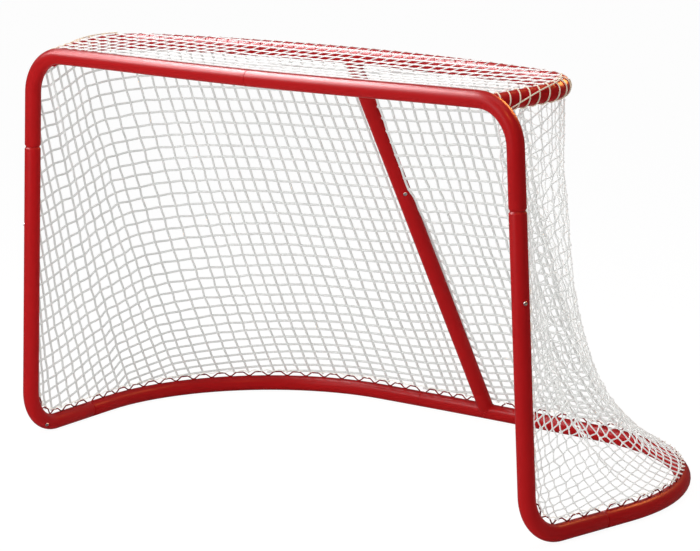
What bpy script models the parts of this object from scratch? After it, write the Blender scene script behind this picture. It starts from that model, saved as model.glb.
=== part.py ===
# Street hockey goal: a bent steel tube frame that knocks down at swaged joints, and its knotted net.
# The goal line is the X axis direction, the mouth faces -Y, and the floor is z = 0.
import math

import bmesh
import bpy
from mathutils import Matrix, Vector

# Frame tube
TUBE_R = 0.0254
TUBE_WALL = 0.0024
TUBE_SIDES = 12
BEND_STEP = math.radians(15)
SEAT_GAP = 0.0003

# Mouth: clear size under the crossbar, and how far each post stands out at the floor
MOUTH_WIDTH = 1.8288
MOUTH_HEIGHT = 1.2192
POST_SPREAD = 0.0585
TOP_BEND_R = 0.127
FOOT_BEND_R = 0.127

# Base: flared side runs, wide rear corners and a slightly bowed rear bar
BASE_FLARE = math.radians(7.45)
BASE_SIDE_RUN = 0.4175
BASE_CORNER_R = 0.6195
BASE_CORNER_TURN = math.radians(95.75)

# Top shelf: the bar that carries the top net, welded to the backs of the two top bends
SHELF_INSET = 0.0798
SHELF_FLARE = math.radians(15.1)
SHELF_SIDE_RUN = 0.176
SHELF_CORNER_R = 0.148
SHELF_CORNER_TURN = math.radians(94.4)
SHELF_REAR_RISE = 0.0234

# Where the tubes come apart
CROSSBAR_SEAM_X = -0.028
POST_JOINT_DROP = 0.2946
BASE_JOINT_Y = 0.305
TEE_HALF = 0.270
STUB_LENGTH = 0.092

# Swaged joints: a necked end slides into the open end of the next tube
SPIGOT_LENGTH = 0.056
SPIGOT_CLEARANCE = 0.0008
SPIGOT_TIP = 0.003
BORE_OVERRUN = 0.002
COPE_START = 0.006
GROOVE_NECK = 0.010
GROOVE_DEPTH = 0.0018
TIGHT_NECK = 0.0015
TIGHT_DEPTH = 0.0004
JOINT_GAP = 0.0004

# Wavy lacing rail welded along the frame
ROD_R = 0.0018
ROD_SIDES = 6
ARCH_PITCH = 0.066
ARCH_HEIGHT = 0.0175
ARCH_FOOT_RATIO = 0.12
ARCH_SLOPE_RATIO = 0.25
RAIL_MARGIN = 0.014
RAIL_BEND_START = math.radians(12)
FOOT_MARGIN = 0.036

# Pan head screws
SCREW_HEAD_R = 0.0062
SCREW_HEAD_H = 0.0030
SCREW_SHANK_R = 0.0022
SCREW_LENGTH = 0.0120
SCREW_SIDES = 12
SCREW_HOLE_CLEARANCE = 0.0004
SCREW_RECESS_R = 0.0022
SCREW_RECESS_DEPTH = 0.0016
POST_SCREW_DROP = 0.5476
POST_SCREW_TURN = math.radians(68)
FOOT_SCREW_TURN = math.radians(45)
FOOT_SCREW_BEND = math.radians(60)
BRACE_SCREW_RATIO = 0.36
BRACE_SCREW_TURN = math.radians(50)

# Net: the solids carry about every third strand of the real mesh
STRAND = 0.0036
STRAND_GAP = 0.0004
PANEL_GAP = 0.0016
NET_ROWS = 7
SIDE_COLUMNS = 3
REAR_COLUMNS = 4
SHELF_NET_START = 0.045
TOP_COLUMNS = 12
TOP_ROWS = 3
SIDE_DROOP_RATIO = 0.5
CORNER_DROOP_RATIO = 1.0
BACK_DROOP_RATIO = 0.35
FOLD_RATIO = 0.15
FOLD_POWER = 12

# Lacing cords
CORD_R = 0.0017
CORD_SIDES = 8
HEM_CORD_LIFT = 0.010
POST_CORD_DROP = 0.1646

RED_PAINT = (0.445, 0.0144, 0.0176, 1.0)
DARK_ROD = (0.115, 0.006, 0.010, 1.0)
SCREW_STEEL = (0.55, 0.55, 0.56, 1.0)
NET_WHITE = (0.80, 0.80, 0.78, 1.0)
CORD_CREAM = (0.78, 0.66, 0.50, 1.0)


def clear_scene():
    """Start from an empty file."""
    for item in list(bpy.data.objects):
        bpy.data.objects.remove(item, do_unlink=True)


clear_scene()
goal = bpy.data.collections.new("hockey_goal")
cutters = bpy.data.collections.new("cutters")
bpy.context.scene.collection.children.link(goal)
bpy.context.scene.collection.children.link(cutters)


def finish(name, color, roughness, metallic):
    """A Principled material."""
    made = bpy.data.materials.new(name)
    made.use_nodes = True
    shader = made.node_tree.nodes["Principled BSDF"]
    shader.inputs["Base Color"].default_value = color
    shader.inputs["Roughness"].default_value = roughness
    shader.inputs["Metallic"].default_value = metallic
    return made


# Flat outlines, seen from above

def rear_outline(start_x, flare, run, corner_r, corner_turn, steps):
    """Right half of a bar seen from above, from its front end at y = 0 round to x = 0.

    It runs back with a flare, turns the corner, and closes on the middle with a wide bow,
    whose radius follows from the rest.
    """
    def left_of(angle):
        return Vector((-math.cos(angle), math.sin(angle)))

    points = [Vector((start_x, 0.0))]
    heading = flare
    points.append(points[0] + run * Vector((math.sin(flare), math.cos(flare))))
    centre = points[1] + corner_r * left_of(heading)
    for i in range(1, steps + 1):
        angle = heading - corner_turn * i / steps
        points.append(centre - corner_r * left_of(angle))
    heading -= corner_turn
    bow_r = points[-1].x / math.cos(heading)
    centre = points[-1] + bow_r * left_of(heading)
    rest = math.pi / 2 + heading
    for i in range(1, REAR_COLUMNS):
        angle = heading - rest * i / (REAR_COLUMNS - 0.5)
        points.append(centre - bow_r * left_of(angle))
    points.append(Vector((0.0, centre.y + bow_r)))
    return points


POST_TOP_X = MOUTH_WIDTH / 2 + TUBE_R
CROSSBAR_Z = MOUTH_HEIGHT + TUBE_R
SHELF_START_X = POST_TOP_X - SHELF_INSET
SHELF_REAR_Z = CROSSBAR_Z + SHELF_REAR_RISE
FACET = math.cos(math.pi / TUBE_SIDES)
FLOOR_TUBE_Z = TUBE_R * FACET
POST_FOOT_X = POST_TOP_X + POST_SPREAD
CORNER_STEPS = 8

base_plan = rear_outline(POST_FOOT_X, BASE_FLARE, BASE_SIDE_RUN, BASE_CORNER_R,
                         BASE_CORNER_TURN, CORNER_STEPS)
shelf_plan = rear_outline(SHELF_START_X, SHELF_FLARE, SHELF_SIDE_RUN, SHELF_CORNER_R,
                          SHELF_CORNER_TURN, CORNER_STEPS)
BASE_DEPTH = base_plan[-1].y
SHELF_DEPTH = shelf_plan[-1].y
FRONT_Y = -BASE_DEPTH / 2
print("base depth", round(BASE_DEPTH, 4), "shelf depth", round(SHELF_DEPTH, 4))


# Centre lines

def rounded(corners, radii, step):
    """A line of points through corners, with an arc of the given radius at each inner corner."""
    points = [corners[0]]
    for before, corner, after, radius in zip(corners, corners[1:], corners[2:], radii):
        back = (before - corner).normalized()
        ahead = (after - corner).normalized()
        angle = back.angle(ahead)
        centre = corner + (back + ahead).normalized() * radius / math.sin(angle / 2)
        reach = radius / math.tan(angle / 2)
        first = corner + back * reach - centre
        axis = first.cross(corner + ahead * reach - centre).normalized()
        turn = math.pi - angle
        count = max(2, math.ceil(turn / step))
        for i in range(count + 1):
            points.append(centre + Matrix.Rotation(turn * i / count, 3, axis) @ first)
    points.append(corners[-1])
    return points


class Line:
    """A centre line that can be measured, cut and read at any distance along it."""

    def __init__(self, points):
        self.points = points
        self.marks = [0.0]
        for a, b in zip(points, points[1:]):
            self.marks.append(self.marks[-1] + (b - a).length)

    @property
    def length(self):
        return self.marks[-1]

    def at(self, distance):
        distance = min(max(distance, 0.0), self.length)
        for i in range(1, len(self.marks)):
            if distance <= self.marks[i]:
                span = self.marks[i] - self.marks[i - 1]
                return self.points[i - 1].lerp(self.points[i], (distance - self.marks[i - 1]) / span)
        return self.points[-1].copy()

    def heading(self, distance):
        step = 0.004
        return (self.at(distance + step) - self.at(distance - step)).normalized()

    def where(self, measure, value, after=0.0):
        """Distance along the line at which measure(point) first passes value."""
        for i in range(1, len(self.points)):
            if self.marks[i] <= after:
                continue
            a = measure(self.points[i - 1])
            b = measure(self.points[i])
            if a != b and (a - value) * (b - value) <= 0:
                return self.marks[i - 1] + (value - a) / (b - a) * (self.marks[i] - self.marks[i - 1])
        raise ValueError("the line never reaches that value")

    def cut(self, start, end):
        """The points from start to end, leaving out any that crowd the two new ends."""
        crowd = 0.004
        inner = [p for p, m in zip(self.points, self.marks) if start + crowd < m < end - crowd]
        return [self.at(start)] + inner + [self.at(end)]


def mirrored(points):
    return [Vector((-p.x, p.y, p.z)) for p in points]


def lift(plan_point, z):
    return Vector((plan_point.x, plan_point.y + FRONT_Y, z))


# One line follows the right half of the main frame: crossbar, post, foot bend, base side, rear bar.
frame_corners = [Vector((0, FRONT_Y, CROSSBAR_Z)), Vector((POST_TOP_X, FRONT_Y, CROSSBAR_Z)),
                 Vector((POST_FOOT_X, FRONT_Y, FLOOR_TUBE_Z)), lift(base_plan[1], FLOOR_TUBE_Z)]
frame_points = rounded(frame_corners, (TOP_BEND_R, FOOT_BEND_R), BEND_STEP)
frame_points += [lift(p, FLOOR_TUBE_Z) for p in base_plan[2:]]
frame_line = Line(frame_points)

post_direction = (frame_corners[2] - frame_corners[1]).normalized()
along_post = frame_line.where(lambda p: p.z, CROSSBAR_Z - POST_JOINT_DROP)
foot_start = frame_line.where(lambda p: p.z, FLOOR_TUBE_Z + FOOT_BEND_R)
along_side = frame_line.where(lambda p: p.y, FRONT_Y + BASE_JOINT_Y, foot_start)
along_rear = frame_line.length - TEE_HALF


def top_bend_height(x):
    """Height of the top bend's centre line at x, where the shelf bar meets it."""
    inner = x - (POST_TOP_X - TOP_BEND_R)
    return CROSSBAR_Z - TOP_BEND_R + math.sqrt(TOP_BEND_R ** 2 - max(inner, 0.0) ** 2)


def shelf_height(y):
    """The shelf bar climbs evenly from the top bend to its rear bar."""
    front = top_bend_height(SHELF_START_X)
    return front + (SHELF_REAR_Z - front) * y / SHELF_DEPTH


shelf_line = Line([lift(p, shelf_height(p.y)) for p in shelf_plan])
brace_line = Line([Vector((0, FRONT_Y + SHELF_DEPTH, SHELF_REAR_Z)),
                   Vector((0, FRONT_Y + BASE_DEPTH, FLOOR_TUBE_Z))])


# Tubes

BORE_R = TUBE_R - TUBE_WALL
SPIGOT_R = BORE_R * FACET - SPIGOT_CLEARANCE / 2
SPIGOT_BORE_R = SPIGOT_R - TUBE_WALL


def extended(points, start, end):
    """The same line with its ends carried straight on."""
    first = points[0] + (points[0] - points[1]).normalized() * start
    last = points[-1] + (points[-1] - points[-2]).normalized() * end
    return [first] + points + [last]


def sleeve(points, radii, sides, name, turn=0.0, upright=False):
    """A closed mesh swept along points with its own radius at each, from a curve object."""
    curve = bpy.data.curves.new(name, "CURVE")
    curve.dimensions = "3D"
    curve.twist_mode = "Z_UP" if upright else "MINIMUM"
    curve.bevel_depth = 1.0
    curve.bevel_resolution = (sides - 4) // 2
    curve.use_fill_caps = True
    spline = curve.splines.new("POLY")
    spline.points.add(len(points) - 1)
    for target, place, radius in zip(spline.points, points, radii):
        target.co = (*place, 1.0)
        target.radius = radius
        target.tilt = turn
    guide = bpy.data.objects.new(name, curve)
    cutters.objects.link(guide)
    bpy.context.view_layer.update()
    mesh = bpy.data.meshes.new_from_object(guide.evaluated_get(bpy.context.evaluated_depsgraph_get()))
    bpy.data.objects.remove(guide, do_unlink=True)
    bpy.data.curves.remove(curve)
    shape = bmesh.new()
    shape.from_mesh(mesh)
    bmesh.ops.remove_doubles(shape, verts=shape.verts, dist=0.00001)
    bmesh.ops.recalc_face_normals(shape, faces=shape.faces)
    shape.to_mesh(mesh)
    shape.free()
    mesh.name = name
    return mesh


def add_part(name, mesh, material, smooth=math.radians(35)):
    mesh.materials.clear()
    mesh.materials.append(material)
    part = bpy.data.objects.new(name, mesh)
    goal.objects.link(part)
    mesh.shade_smooth()
    mesh.set_sharp_from_angle(angle=smooth)
    return part


def add_cutter(name, mesh):
    cutter = bpy.data.objects.new(name, mesh)
    cutters.objects.link(cutter)
    cutter.hide_render = True
    cutter.display_type = "WIRE"
    return cutter


def combine(part, other, operation):
    step = part.modifiers.new(other.name, "BOOLEAN")
    step.operation = operation
    step.object = other
    step.solver = "EXACT"
    return step


class End:
    """How a tube ends: kind is plain, socket or spigot, with how far and how deep it is rolled in."""

    def __init__(self, kind, neck=TIGHT_NECK, depth=TIGHT_DEPTH):
        self.kind = kind
        self.neck = neck
        self.depth = depth


PLAIN = End("plain")
SOCKET = End("socket")
SPIGOT = End("spigot")
GROOVED_SOCKET = End("socket", GROOVE_NECK, GROOVE_DEPTH)
GROOVED_SPIGOT = End("spigot", GROOVE_NECK, GROOVE_DEPTH)


def shaped_end(rings, end):
    """Give the last of a tube's rings, which lies at the joint's seam, its socket or spigot."""
    seam = rings[-1][0]
    ahead = (seam - rings[-2][0]).normalized()
    if end.kind == "socket":
        lip = seam - ahead * JOINT_GAP
        return rings[:-1] + [(lip - ahead * end.neck, TUBE_R, BORE_R), (lip, TUBE_R - end.depth, BORE_R)]
    if end.kind == "spigot":
        tip = seam + ahead * SPIGOT_LENGTH
        return rings[:-1] + [(seam - ahead * end.neck, TUBE_R, SPIGOT_BORE_R),
                             (seam, TUBE_R - end.depth, SPIGOT_BORE_R),
                             (seam + ahead * JOINT_GAP, SPIGOT_R, SPIGOT_BORE_R),
                             (tip - ahead * SPIGOT_TIP, SPIGOT_R, SPIGOT_BORE_R),
                             (tip, SPIGOT_R - SPIGOT_TIP / 3, SPIGOT_BORE_R)]
    return rings


def tube(name, points, start, end, turn=0.0, upright=False):
    """A hollow frame tube along points, whose first and last lie at its joints' seams."""
    rings = [(point, TUBE_R, BORE_R) for point in points]
    rings = shaped_end(rings, end)
    rings = shaped_end(rings[::-1], start)[::-1]
    centres = [ring[0] for ring in rings]
    outers = [ring[1] for ring in rings]
    bores = [ring[2] for ring in rings]
    part = add_part(name, sleeve(centres, outers, TUBE_SIDES, name, turn, upright), red)
    reach = extended(centres, BORE_OVERRUN, BORE_OVERRUN)
    bore = sleeve(reach, [bores[0]] + bores + [bores[-1]], TUBE_SIDES, name + "_bore", turn, upright)
    combine(part, add_cutter(name + "_bore", bore), "DIFFERENCE")
    return part


def cope(part, other_points, turn=0.0, upright=False):
    """Cut the end of a tube to the shape of the tube that it is welded to."""
    name = part.name + "_cope"
    radii = [TUBE_R + SEAT_GAP] * len(other_points)
    other = sleeve(other_points, radii, TUBE_SIDES, name, turn, upright)
    combine(part, add_cutter(name, other), "DIFFERENCE")


def facet_turn(points):
    """How far a section swept along points must turn for its far end to lie on a facet."""
    trial = sleeve(points, [TUBE_R] * len(points), TUBE_SIDES, "trial")
    ahead = (points[-1] - points[-2]).normalized()
    across = ahead.cross(Vector((0, 0, -1))).normalized()
    down = across.cross(ahead)
    ring = [v.co - points[-1] for v in trial.vertices if (v.co - points[-1]).length < TUBE_R * 1.01]
    bpy.data.meshes.remove(trial)
    step = 2 * math.pi / TUBE_SIDES
    angle = math.atan2(ring[0].dot(across), ring[0].dot(down)) % step
    return step / 2 - angle


# Materials

red = finish("red_paint", RED_PAINT, 0.28, 0.0)
rod_red = finish("rod_paint", DARK_ROD, 0.35, 0.0)
steel = finish("screw_steel", SCREW_STEEL, 0.30, 1.0)
net_white = finish("net_white", NET_WHITE, 0.80, 0.0)
cord_cream = finish("cord_cream", CORD_CREAM, 0.85, 0.0)


# Frame

FACET_DOWN = math.pi / TUBE_SIDES
SIDES = (("right", list), ("left", mirrored))

corner_line = frame_line.cut(0.0, along_post)
for side, place in SIDES:
    reach = CROSSBAR_SEAM_X if side == "right" else -CROSSBAR_SEAM_X
    crossbar_half = [Vector((reach, FRONT_Y, CROSSBAR_Z))] + corner_line[1:]
    tube("upper_%s_corner" % side, place(crossbar_half),
         SOCKET if side == "right" else SPIGOT, GROOVED_SOCKET)
    lower_line = place(frame_line.cut(along_post, along_side))
    tube("lower_%s_post" % side, lower_line, GROOVED_SPIGOT, SOCKET, facet_turn(lower_line))
    tube("base_%s_bend" % side, place(frame_line.cut(along_side, along_rear)), SPIGOT, SOCKET,
         FACET_DOWN, True)

rear_half = frame_line.cut(along_rear, frame_line.length)
rear_bar = rear_half + mirrored(rear_half[-2::-1])
tube("base_rear_bar", rear_bar, SPIGOT, SPIGOT, FACET_DOWN, True)

along_shelf = shelf_line.length - TEE_HALF
shelf_rear_half = shelf_line.cut(along_shelf, shelf_line.length)
shelf_rear = shelf_rear_half + mirrored(shelf_rear_half[-2::-1])
for side, place in SIDES:
    shelf_side = tube("shelf_%s_bend" % side, place(shelf_line.cut(0.0, along_shelf)), PLAIN, SOCKET,
                      0.0, True)
    cope(shelf_side, place(corner_line))
tube("shelf_rear_bar", shelf_rear, SPIGOT, SPIGOT, 0.0, True)

brace_end = brace_line.length
foot_stub = tube("base_brace_stub",
                 [brace_line.at(brace_end - COPE_START), brace_line.at(brace_end - STUB_LENGTH)],
                 PLAIN, SPIGOT, 0.0, True)
cope(foot_stub, rear_bar, FACET_DOWN, True)
head_stub = tube("shelf_brace_stub", brace_line.cut(COPE_START, STUB_LENGTH), PLAIN, SPIGOT, 0.0, True)
cope(head_stub, shelf_rear, 0.0, True)
tube("centre_brace", brace_line.cut(STUB_LENGTH, brace_end - STUB_LENGTH), SOCKET, SOCKET, 0.0, True)


# Lacing rails: a rod bent in flat-topped arches, its feet welded to the tube

bend_centre_side = (frame_corners[3] - frame_corners[2]).normalized()
bend_plane = post_direction.cross(bend_centre_side).normalized()
foot_end = foot_start + FOOT_BEND_R * math.pi / 2


def rail_side(distance):
    """The side of the frame tube that carries the rail: inside the foot bend, then on top."""
    inside = bend_plane.cross(frame_line.heading(distance)).normalized()
    share = (distance - foot_end) / (along_side - foot_end)
    return inside.lerp(Vector((0, 0, 1)), min(max(share, 0.0), 1.0)).normalized()


def rail_points(start, end):
    """Arches from start to end along the frame, at the nearest pitch that fills the run."""
    count = max(1, round((end - start) / ARCH_PITCH))
    pitch = (end - start) / count
    low = TUBE_R + ROD_R + SEAT_GAP
    high = low + ARCH_HEIGHT
    rise_start = ARCH_FOOT_RATIO / 2
    rise_end = rise_start + ARCH_SLOPE_RATIO
    points = []
    for i in range(count):
        for share, height in ((rise_start, low), (rise_end, high), (1 - rise_end, high), (1 - rise_start, low)):
            distance = start + (i + share) * pitch
            points.append(frame_line.at(distance) + rail_side(distance) * height)
    return points


def rod(name, points, radius, sides, material):
    """A solid round rod or cord along points."""
    return add_part(name, sleeve(points, [radius] * len(points), sides, name), material)


rail_runs = (("lower_%s_rail", foot_start + FOOT_BEND_R * RAIL_BEND_START, along_side - RAIL_MARGIN),
             ("base_%s_rail", along_side + RAIL_MARGIN, along_rear - RAIL_MARGIN),
             ("rear_%s_rail", along_rear + RAIL_MARGIN, frame_line.length - FOOT_MARGIN))
for side, place in SIDES:
    for label, start, end in rail_runs:
        rod(label % side, place(rail_points(start, end)), ROD_R, ROD_SIDES, rod_red)


# Screws: pan heads on the posts, the foot bends and the brace

def screw_profile():
    """Half outline of a pan head screw from the middle of its recess down the outside to its tip."""
    profile = bpy.data.meshes.new("screw")
    outline = [(0, SCREW_HEAD_H - SCREW_RECESS_DEPTH), (SCREW_RECESS_R, SCREW_HEAD_H),
               (SCREW_HEAD_R * 0.70, SCREW_HEAD_H), (SCREW_HEAD_R * 0.93, SCREW_HEAD_H * 0.72),
               (SCREW_HEAD_R, SCREW_HEAD_H * 0.35), (SCREW_HEAD_R, 0), (SCREW_SHANK_R, 0),
               (SCREW_SHANK_R, -SCREW_LENGTH + SCREW_SHANK_R), (0, -SCREW_LENGTH)]
    profile.from_pydata([(x, 0, z) for x, z in outline],
                        [(i, i + 1) for i in range(len(outline) - 1)], [])
    profile.materials.append(steel)
    return profile


screw_mesh = screw_profile()


def add_screw(name, tube_name, centre, outward):
    """A screw standing square on a tube, in a hole drilled through the near wall."""
    outward = outward.normalized()
    screw = bpy.data.objects.new(name, screw_mesh)
    goal.objects.link(screw)
    turn = outward.to_track_quat("Z", "Y")
    screw.matrix_world = Matrix.Translation(centre + outward * (TUBE_R + SEAT_GAP)) @ turn.to_matrix().to_4x4()
    lathe = screw.modifiers.new("turned", "SCREW")
    lathe.steps = SCREW_SIDES
    lathe.render_steps = SCREW_SIDES
    lathe.use_merge_vertices = True
    lathe.merge_threshold = 0.00001
    hole_r = SCREW_SHANK_R + SCREW_HOLE_CLEARANCE
    shape = bmesh.new()
    bmesh.ops.create_cone(shape, cap_ends=True, segments=SCREW_SIDES, radius1=hole_r, radius2=hole_r,
                          depth=TUBE_R)
    hole = bpy.data.meshes.new(name + "_hole")
    shape.to_mesh(hole)
    shape.free()
    cutter = add_cutter(name + "_hole", hole)
    cutter.matrix_world = Matrix.Translation(centre + outward * TUBE_R) @ turn.to_matrix().to_4x4()
    combine(bpy.data.objects[tube_name], cutter, "DIFFERENCE")


post_screw_at = frame_line.where(lambda p: p.z, CROSSBAR_Z - POST_SCREW_DROP)
foot_screw_at = foot_start + FOOT_BEND_R * FOOT_SCREW_BEND
for side, place in SIDES:
    outward = Vector((math.sin(POST_SCREW_TURN), -math.cos(POST_SCREW_TURN), 0))
    outward -= outward.project(post_direction)
    add_screw("post_%s_screw" % side, "lower_%s_post" % side,
              place([frame_line.at(post_screw_at)])[0], place([outward])[0])
    inward = Vector((-math.sin(FOOT_SCREW_TURN), -math.cos(FOOT_SCREW_TURN), 0))
    inward -= inward.project(frame_line.heading(foot_screw_at))
    add_screw("foot_%s_screw" % side, "lower_%s_post" % side,
              place([frame_line.at(foot_screw_at)])[0], place([inward])[0])
brace_outward = Vector((math.sin(BRACE_SCREW_TURN), -math.cos(BRACE_SCREW_TURN), 0))
brace_outward -= brace_outward.project(brace_line.heading(brace_end / 2))
add_screw("brace_screw", "centre_brace", brace_line.at(brace_end * BRACE_SCREW_RATIO), brace_outward)


# Net: lattice panels between the shelf and the base, one flat panel on top

def outward_of(line, distance):
    """Level direction square to a line, away from the inside of the goal."""
    heading = line.heading(distance)
    return Vector((heading.y, -heading.x, 0)).normalized()


def net_stops(line, first, corner_start, corner_end):
    """Distances along a line of one half's net strands: side run, corner, then rear."""
    run = [first + (corner_start - first) * i / SIDE_COLUMNS for i in range(SIDE_COLUMNS)]
    bend = [corner_start + (corner_end - corner_start) * i / CORNER_STEPS for i in range(CORNER_STEPS)]
    width = (line.length - corner_end) / (REAR_COLUMNS - 0.5)
    return run + bend + [corner_end + width * i for i in range(REAR_COLUMNS)]


base_line = Line([lift(point, FLOOR_TUBE_Z) for point in base_plan])
before_base = frame_line.length - base_line.length
hem_start = foot_start + FOOT_BEND_R * RAIL_BEND_START
shelf_stops = net_stops(shelf_line, SHELF_NET_START, shelf_line.marks[1], shelf_line.marks[1 + CORNER_STEPS])
base_stops = net_stops(frame_line, hem_start, before_base + base_line.marks[1],
                       before_base + base_line.marks[1 + CORNER_STEPS])
LAST = len(shelf_stops) - 1
CORNER_FIRST = SIDE_COLUMNS
CORNER_MIDDLE = SIDE_COLUMNS + CORNER_STEPS // 2
CORNER_LAST = SIDE_COLUMNS + CORNER_STEPS
HANG = TUBE_R + STRAND / 2 + STRAND_GAP
ARCH_TOP = TUBE_R + SEAT_GAP + ROD_R + ARCH_HEIGHT
HEM = ARCH_TOP + ROD_R + STRAND / 2 + STRAND_GAP
POST_BACK = TUBE_R + SEAT_GAP + 2 * CORD_R + STRAND_GAP + STRAND / 2
brace_heading = brace_line.heading(brace_end / 2)
brace_back = Vector((0, -brace_heading.z, brace_heading.y))


def hem_point(distance, rise, out=0.0):
    """A point on the rail's side of the frame tube, rise from its middle and out to the side."""
    point = frame_line.at(distance) + rail_side(distance) * rise
    if distance < along_side:
        return point + bend_plane * out
    return point + outward_of(frame_line, distance) * out


def behind_brace(x, z, out):
    """A point at a distance from the brace's middle, on the side away from the mouth."""
    top = brace_line.points[0]
    return Vector((x, top.y + (out - (z - top.z) * brace_back.z) / brace_back.y, z))


def net_top(column):
    distance = shelf_stops[column]
    return shelf_line.at(distance) + outward_of(shelf_line, distance) * HANG


def net_point(column, row):
    """Where a strand of the right half crosses a row: row 0 is at the shelf and the last at the floor."""
    top = net_top(column)
    foot = hem_point(base_stops[column], HEM)
    down = row / NET_ROWS
    z = top.z + (foot.z - top.z) * down
    if column == 0 and 0 < row < NET_ROWS:
        post = frame_line.at(frame_line.where(lambda p: p.z, z))
        return post + Vector((0, POST_BACK, 0))
    if column == LAST:
        return behind_brace(top.x + (foot.x - top.x) * down, z, POST_BACK)
    if column <= CORNER_MIDDLE:
        droop = SIDE_DROOP_RATIO + (CORNER_DROOP_RATIO - SIDE_DROOP_RATIO) * column / CORNER_MIDDLE
    else:
        share = (column - CORNER_MIDDLE) / (LAST - CORNER_MIDDLE)
        droop = CORNER_DROOP_RATIO + (BACK_DROOP_RATIO - CORNER_DROOP_RATIO) * share
    loose = (1 - FOLD_RATIO) * down ** 3 + FOLD_RATIO * down ** FOLD_POWER
    fall = (1 - droop) * down + droop * loose
    return Vector((top.x + (foot.x - top.x) * fall, top.y + (foot.y - top.y) * fall, z))


def lattice(name, columns, rows, place):
    """A net panel: a grid whose knots lie where place(column, row) says, each strand a thin strut."""
    shape = bmesh.new()
    bmesh.ops.create_grid(shape, x_segments=columns, y_segments=rows, size=1.0)
    for vert in shape.verts:
        column = round((vert.co.x + 1) * columns / 2)
        row = round((vert.co.y + 1) * rows / 2)
        vert.co = place(column, row)
    bmesh.ops.recalc_face_normals(shape, faces=shape.faces)
    mesh = bpy.data.meshes.new(name)
    shape.to_mesh(mesh)
    shape.free()
    mesh.materials.append(net_white)
    panel = bpy.data.objects.new(name, mesh)
    goal.objects.link(panel)
    strands = panel.modifiers.new("strands", "WIREFRAME")
    strands.thickness = STRAND
    strands.offset = 0
    strands.use_boundary = True
    strands.use_even_offset = True
    return panel


def inset(point, neighbour):
    """Draw a panel's edge strand in, so that the next panel's edge lies beside it."""
    return point + (neighbour - point).normalized() * (STRAND + PANEL_GAP) / 2


def half_panel(name, first, last, place):
    """A panel of one half's net between two columns."""
    def knot(column, row):
        point = net_point(first + column, row)
        if column == 0 and first > 0:
            point = inset(point, net_point(first + 1, row))
        if first + column == last:
            point = inset(point, net_point(last - 1, row))
        return place([point])[0]
    lattice(name, last - first, NET_ROWS, knot)


for side, place in SIDES:
    half_panel("net_%s_side" % side, 0, CORNER_FIRST, place)
    half_panel("net_%s_corner_front" % side, CORNER_FIRST, CORNER_MIDDLE, place)
    half_panel("net_%s_corner_rear" % side, CORNER_MIDDLE, CORNER_LAST, place)


def back_knot(column, row):
    """Across the back from the left corner's end to the right one's."""
    half = REAR_COLUMNS - 1
    if column <= half:
        point = mirrored([net_point(CORNER_LAST + column, row)])[0]
        if column == 0:
            point = inset(point, mirrored([net_point(CORNER_LAST + 1, row)])[0])
        return point
    step = 2 * half + 1 - column
    point = net_point(CORNER_LAST + step, row)
    return inset(point, net_point(CORNER_LAST + 1, row)) if step == 0 else point


lattice("net_back", 2 * REAR_COLUMNS - 1, NET_ROWS, back_knot)

shelf_from_rear = Line(shelf_line.points[::-1])
corner_middle = shelf_line.points[1 + CORNER_STEPS // 2]


def top_height(y):
    """Height of the top net, lying on the shelf bar."""
    return shelf_height(y - FRONT_Y) + TUBE_R + STRAND / 2 + SEAT_GAP


crossbar_rise = top_height(FRONT_Y) - CROSSBAR_Z
top_front = FRONT_Y + math.sqrt((TUBE_R + STRAND / 2 + SEAT_GAP) ** 2 - crossbar_rise ** 2)


def top_knot(column, row):
    """Strands run straight across and straight back, and their ends lie along the shelf bar."""
    across = 2 * column / TOP_COLUMNS - 1
    back = row / TOP_ROWS
    rear_x = abs(across) * corner_middle.x
    rear_y = shelf_from_rear.at(shelf_from_rear.where(lambda p: p.x, rear_x)).y
    side_y = top_front + (corner_middle.y - top_front) * back
    side_x = shelf_line.at(shelf_line.where(lambda p: p.y, side_y)).x
    y = top_front + (rear_y - top_front) * back
    return Vector((across * side_x, y, top_height(y)))


lattice("net_top", TOP_COLUMNS, TOP_ROWS, top_knot)


# Lacing cords: one down the back of each post, and one through the rail's arches round the base

for side, place in SIDES:
    cord_top = frame_line.where(lambda p: p.z, CROSSBAR_Z - POST_CORD_DROP)
    behind = [point + Vector((0, TUBE_R + SEAT_GAP + CORD_R, 0))
              for point in frame_line.cut(cord_top, foot_start)]
    rod("post_%s_cord" % side, place(behind), CORD_R, CORD_SIDES, cord_cream)

hem_end = frame_line.length - FOOT_MARGIN
hem_bends = [mark for mark in frame_line.marks if hem_start < mark < hem_end]
hem_marks = sorted([hem_start, along_side, hem_end] + hem_bends)
hem_inside = ROD_R + CORD_R + STRAND_GAP
for side, place in SIDES:
    beside = [hem_point(mark, TUBE_R + HEM_CORD_LIFT, -hem_inside) for mark in hem_marks]
    rod("hem_%s_cord" % side, place(beside), CORD_R, CORD_SIDES, cord_cream)
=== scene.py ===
# %% [markdown]
# A street hockey goal, dressed for its portrait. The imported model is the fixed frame: it says where
# every tube, rail and net panel is. Here each of them is rebuilt with round tubes, a real knotted
# net and painted steel, in the same places. The frame's box is kept first, because the finished
# goal has to stay inside it.

# %% The frame
import bisect
import math

import bmesh
import bpy
from mathutils import Matrix, Vector, noise


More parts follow.
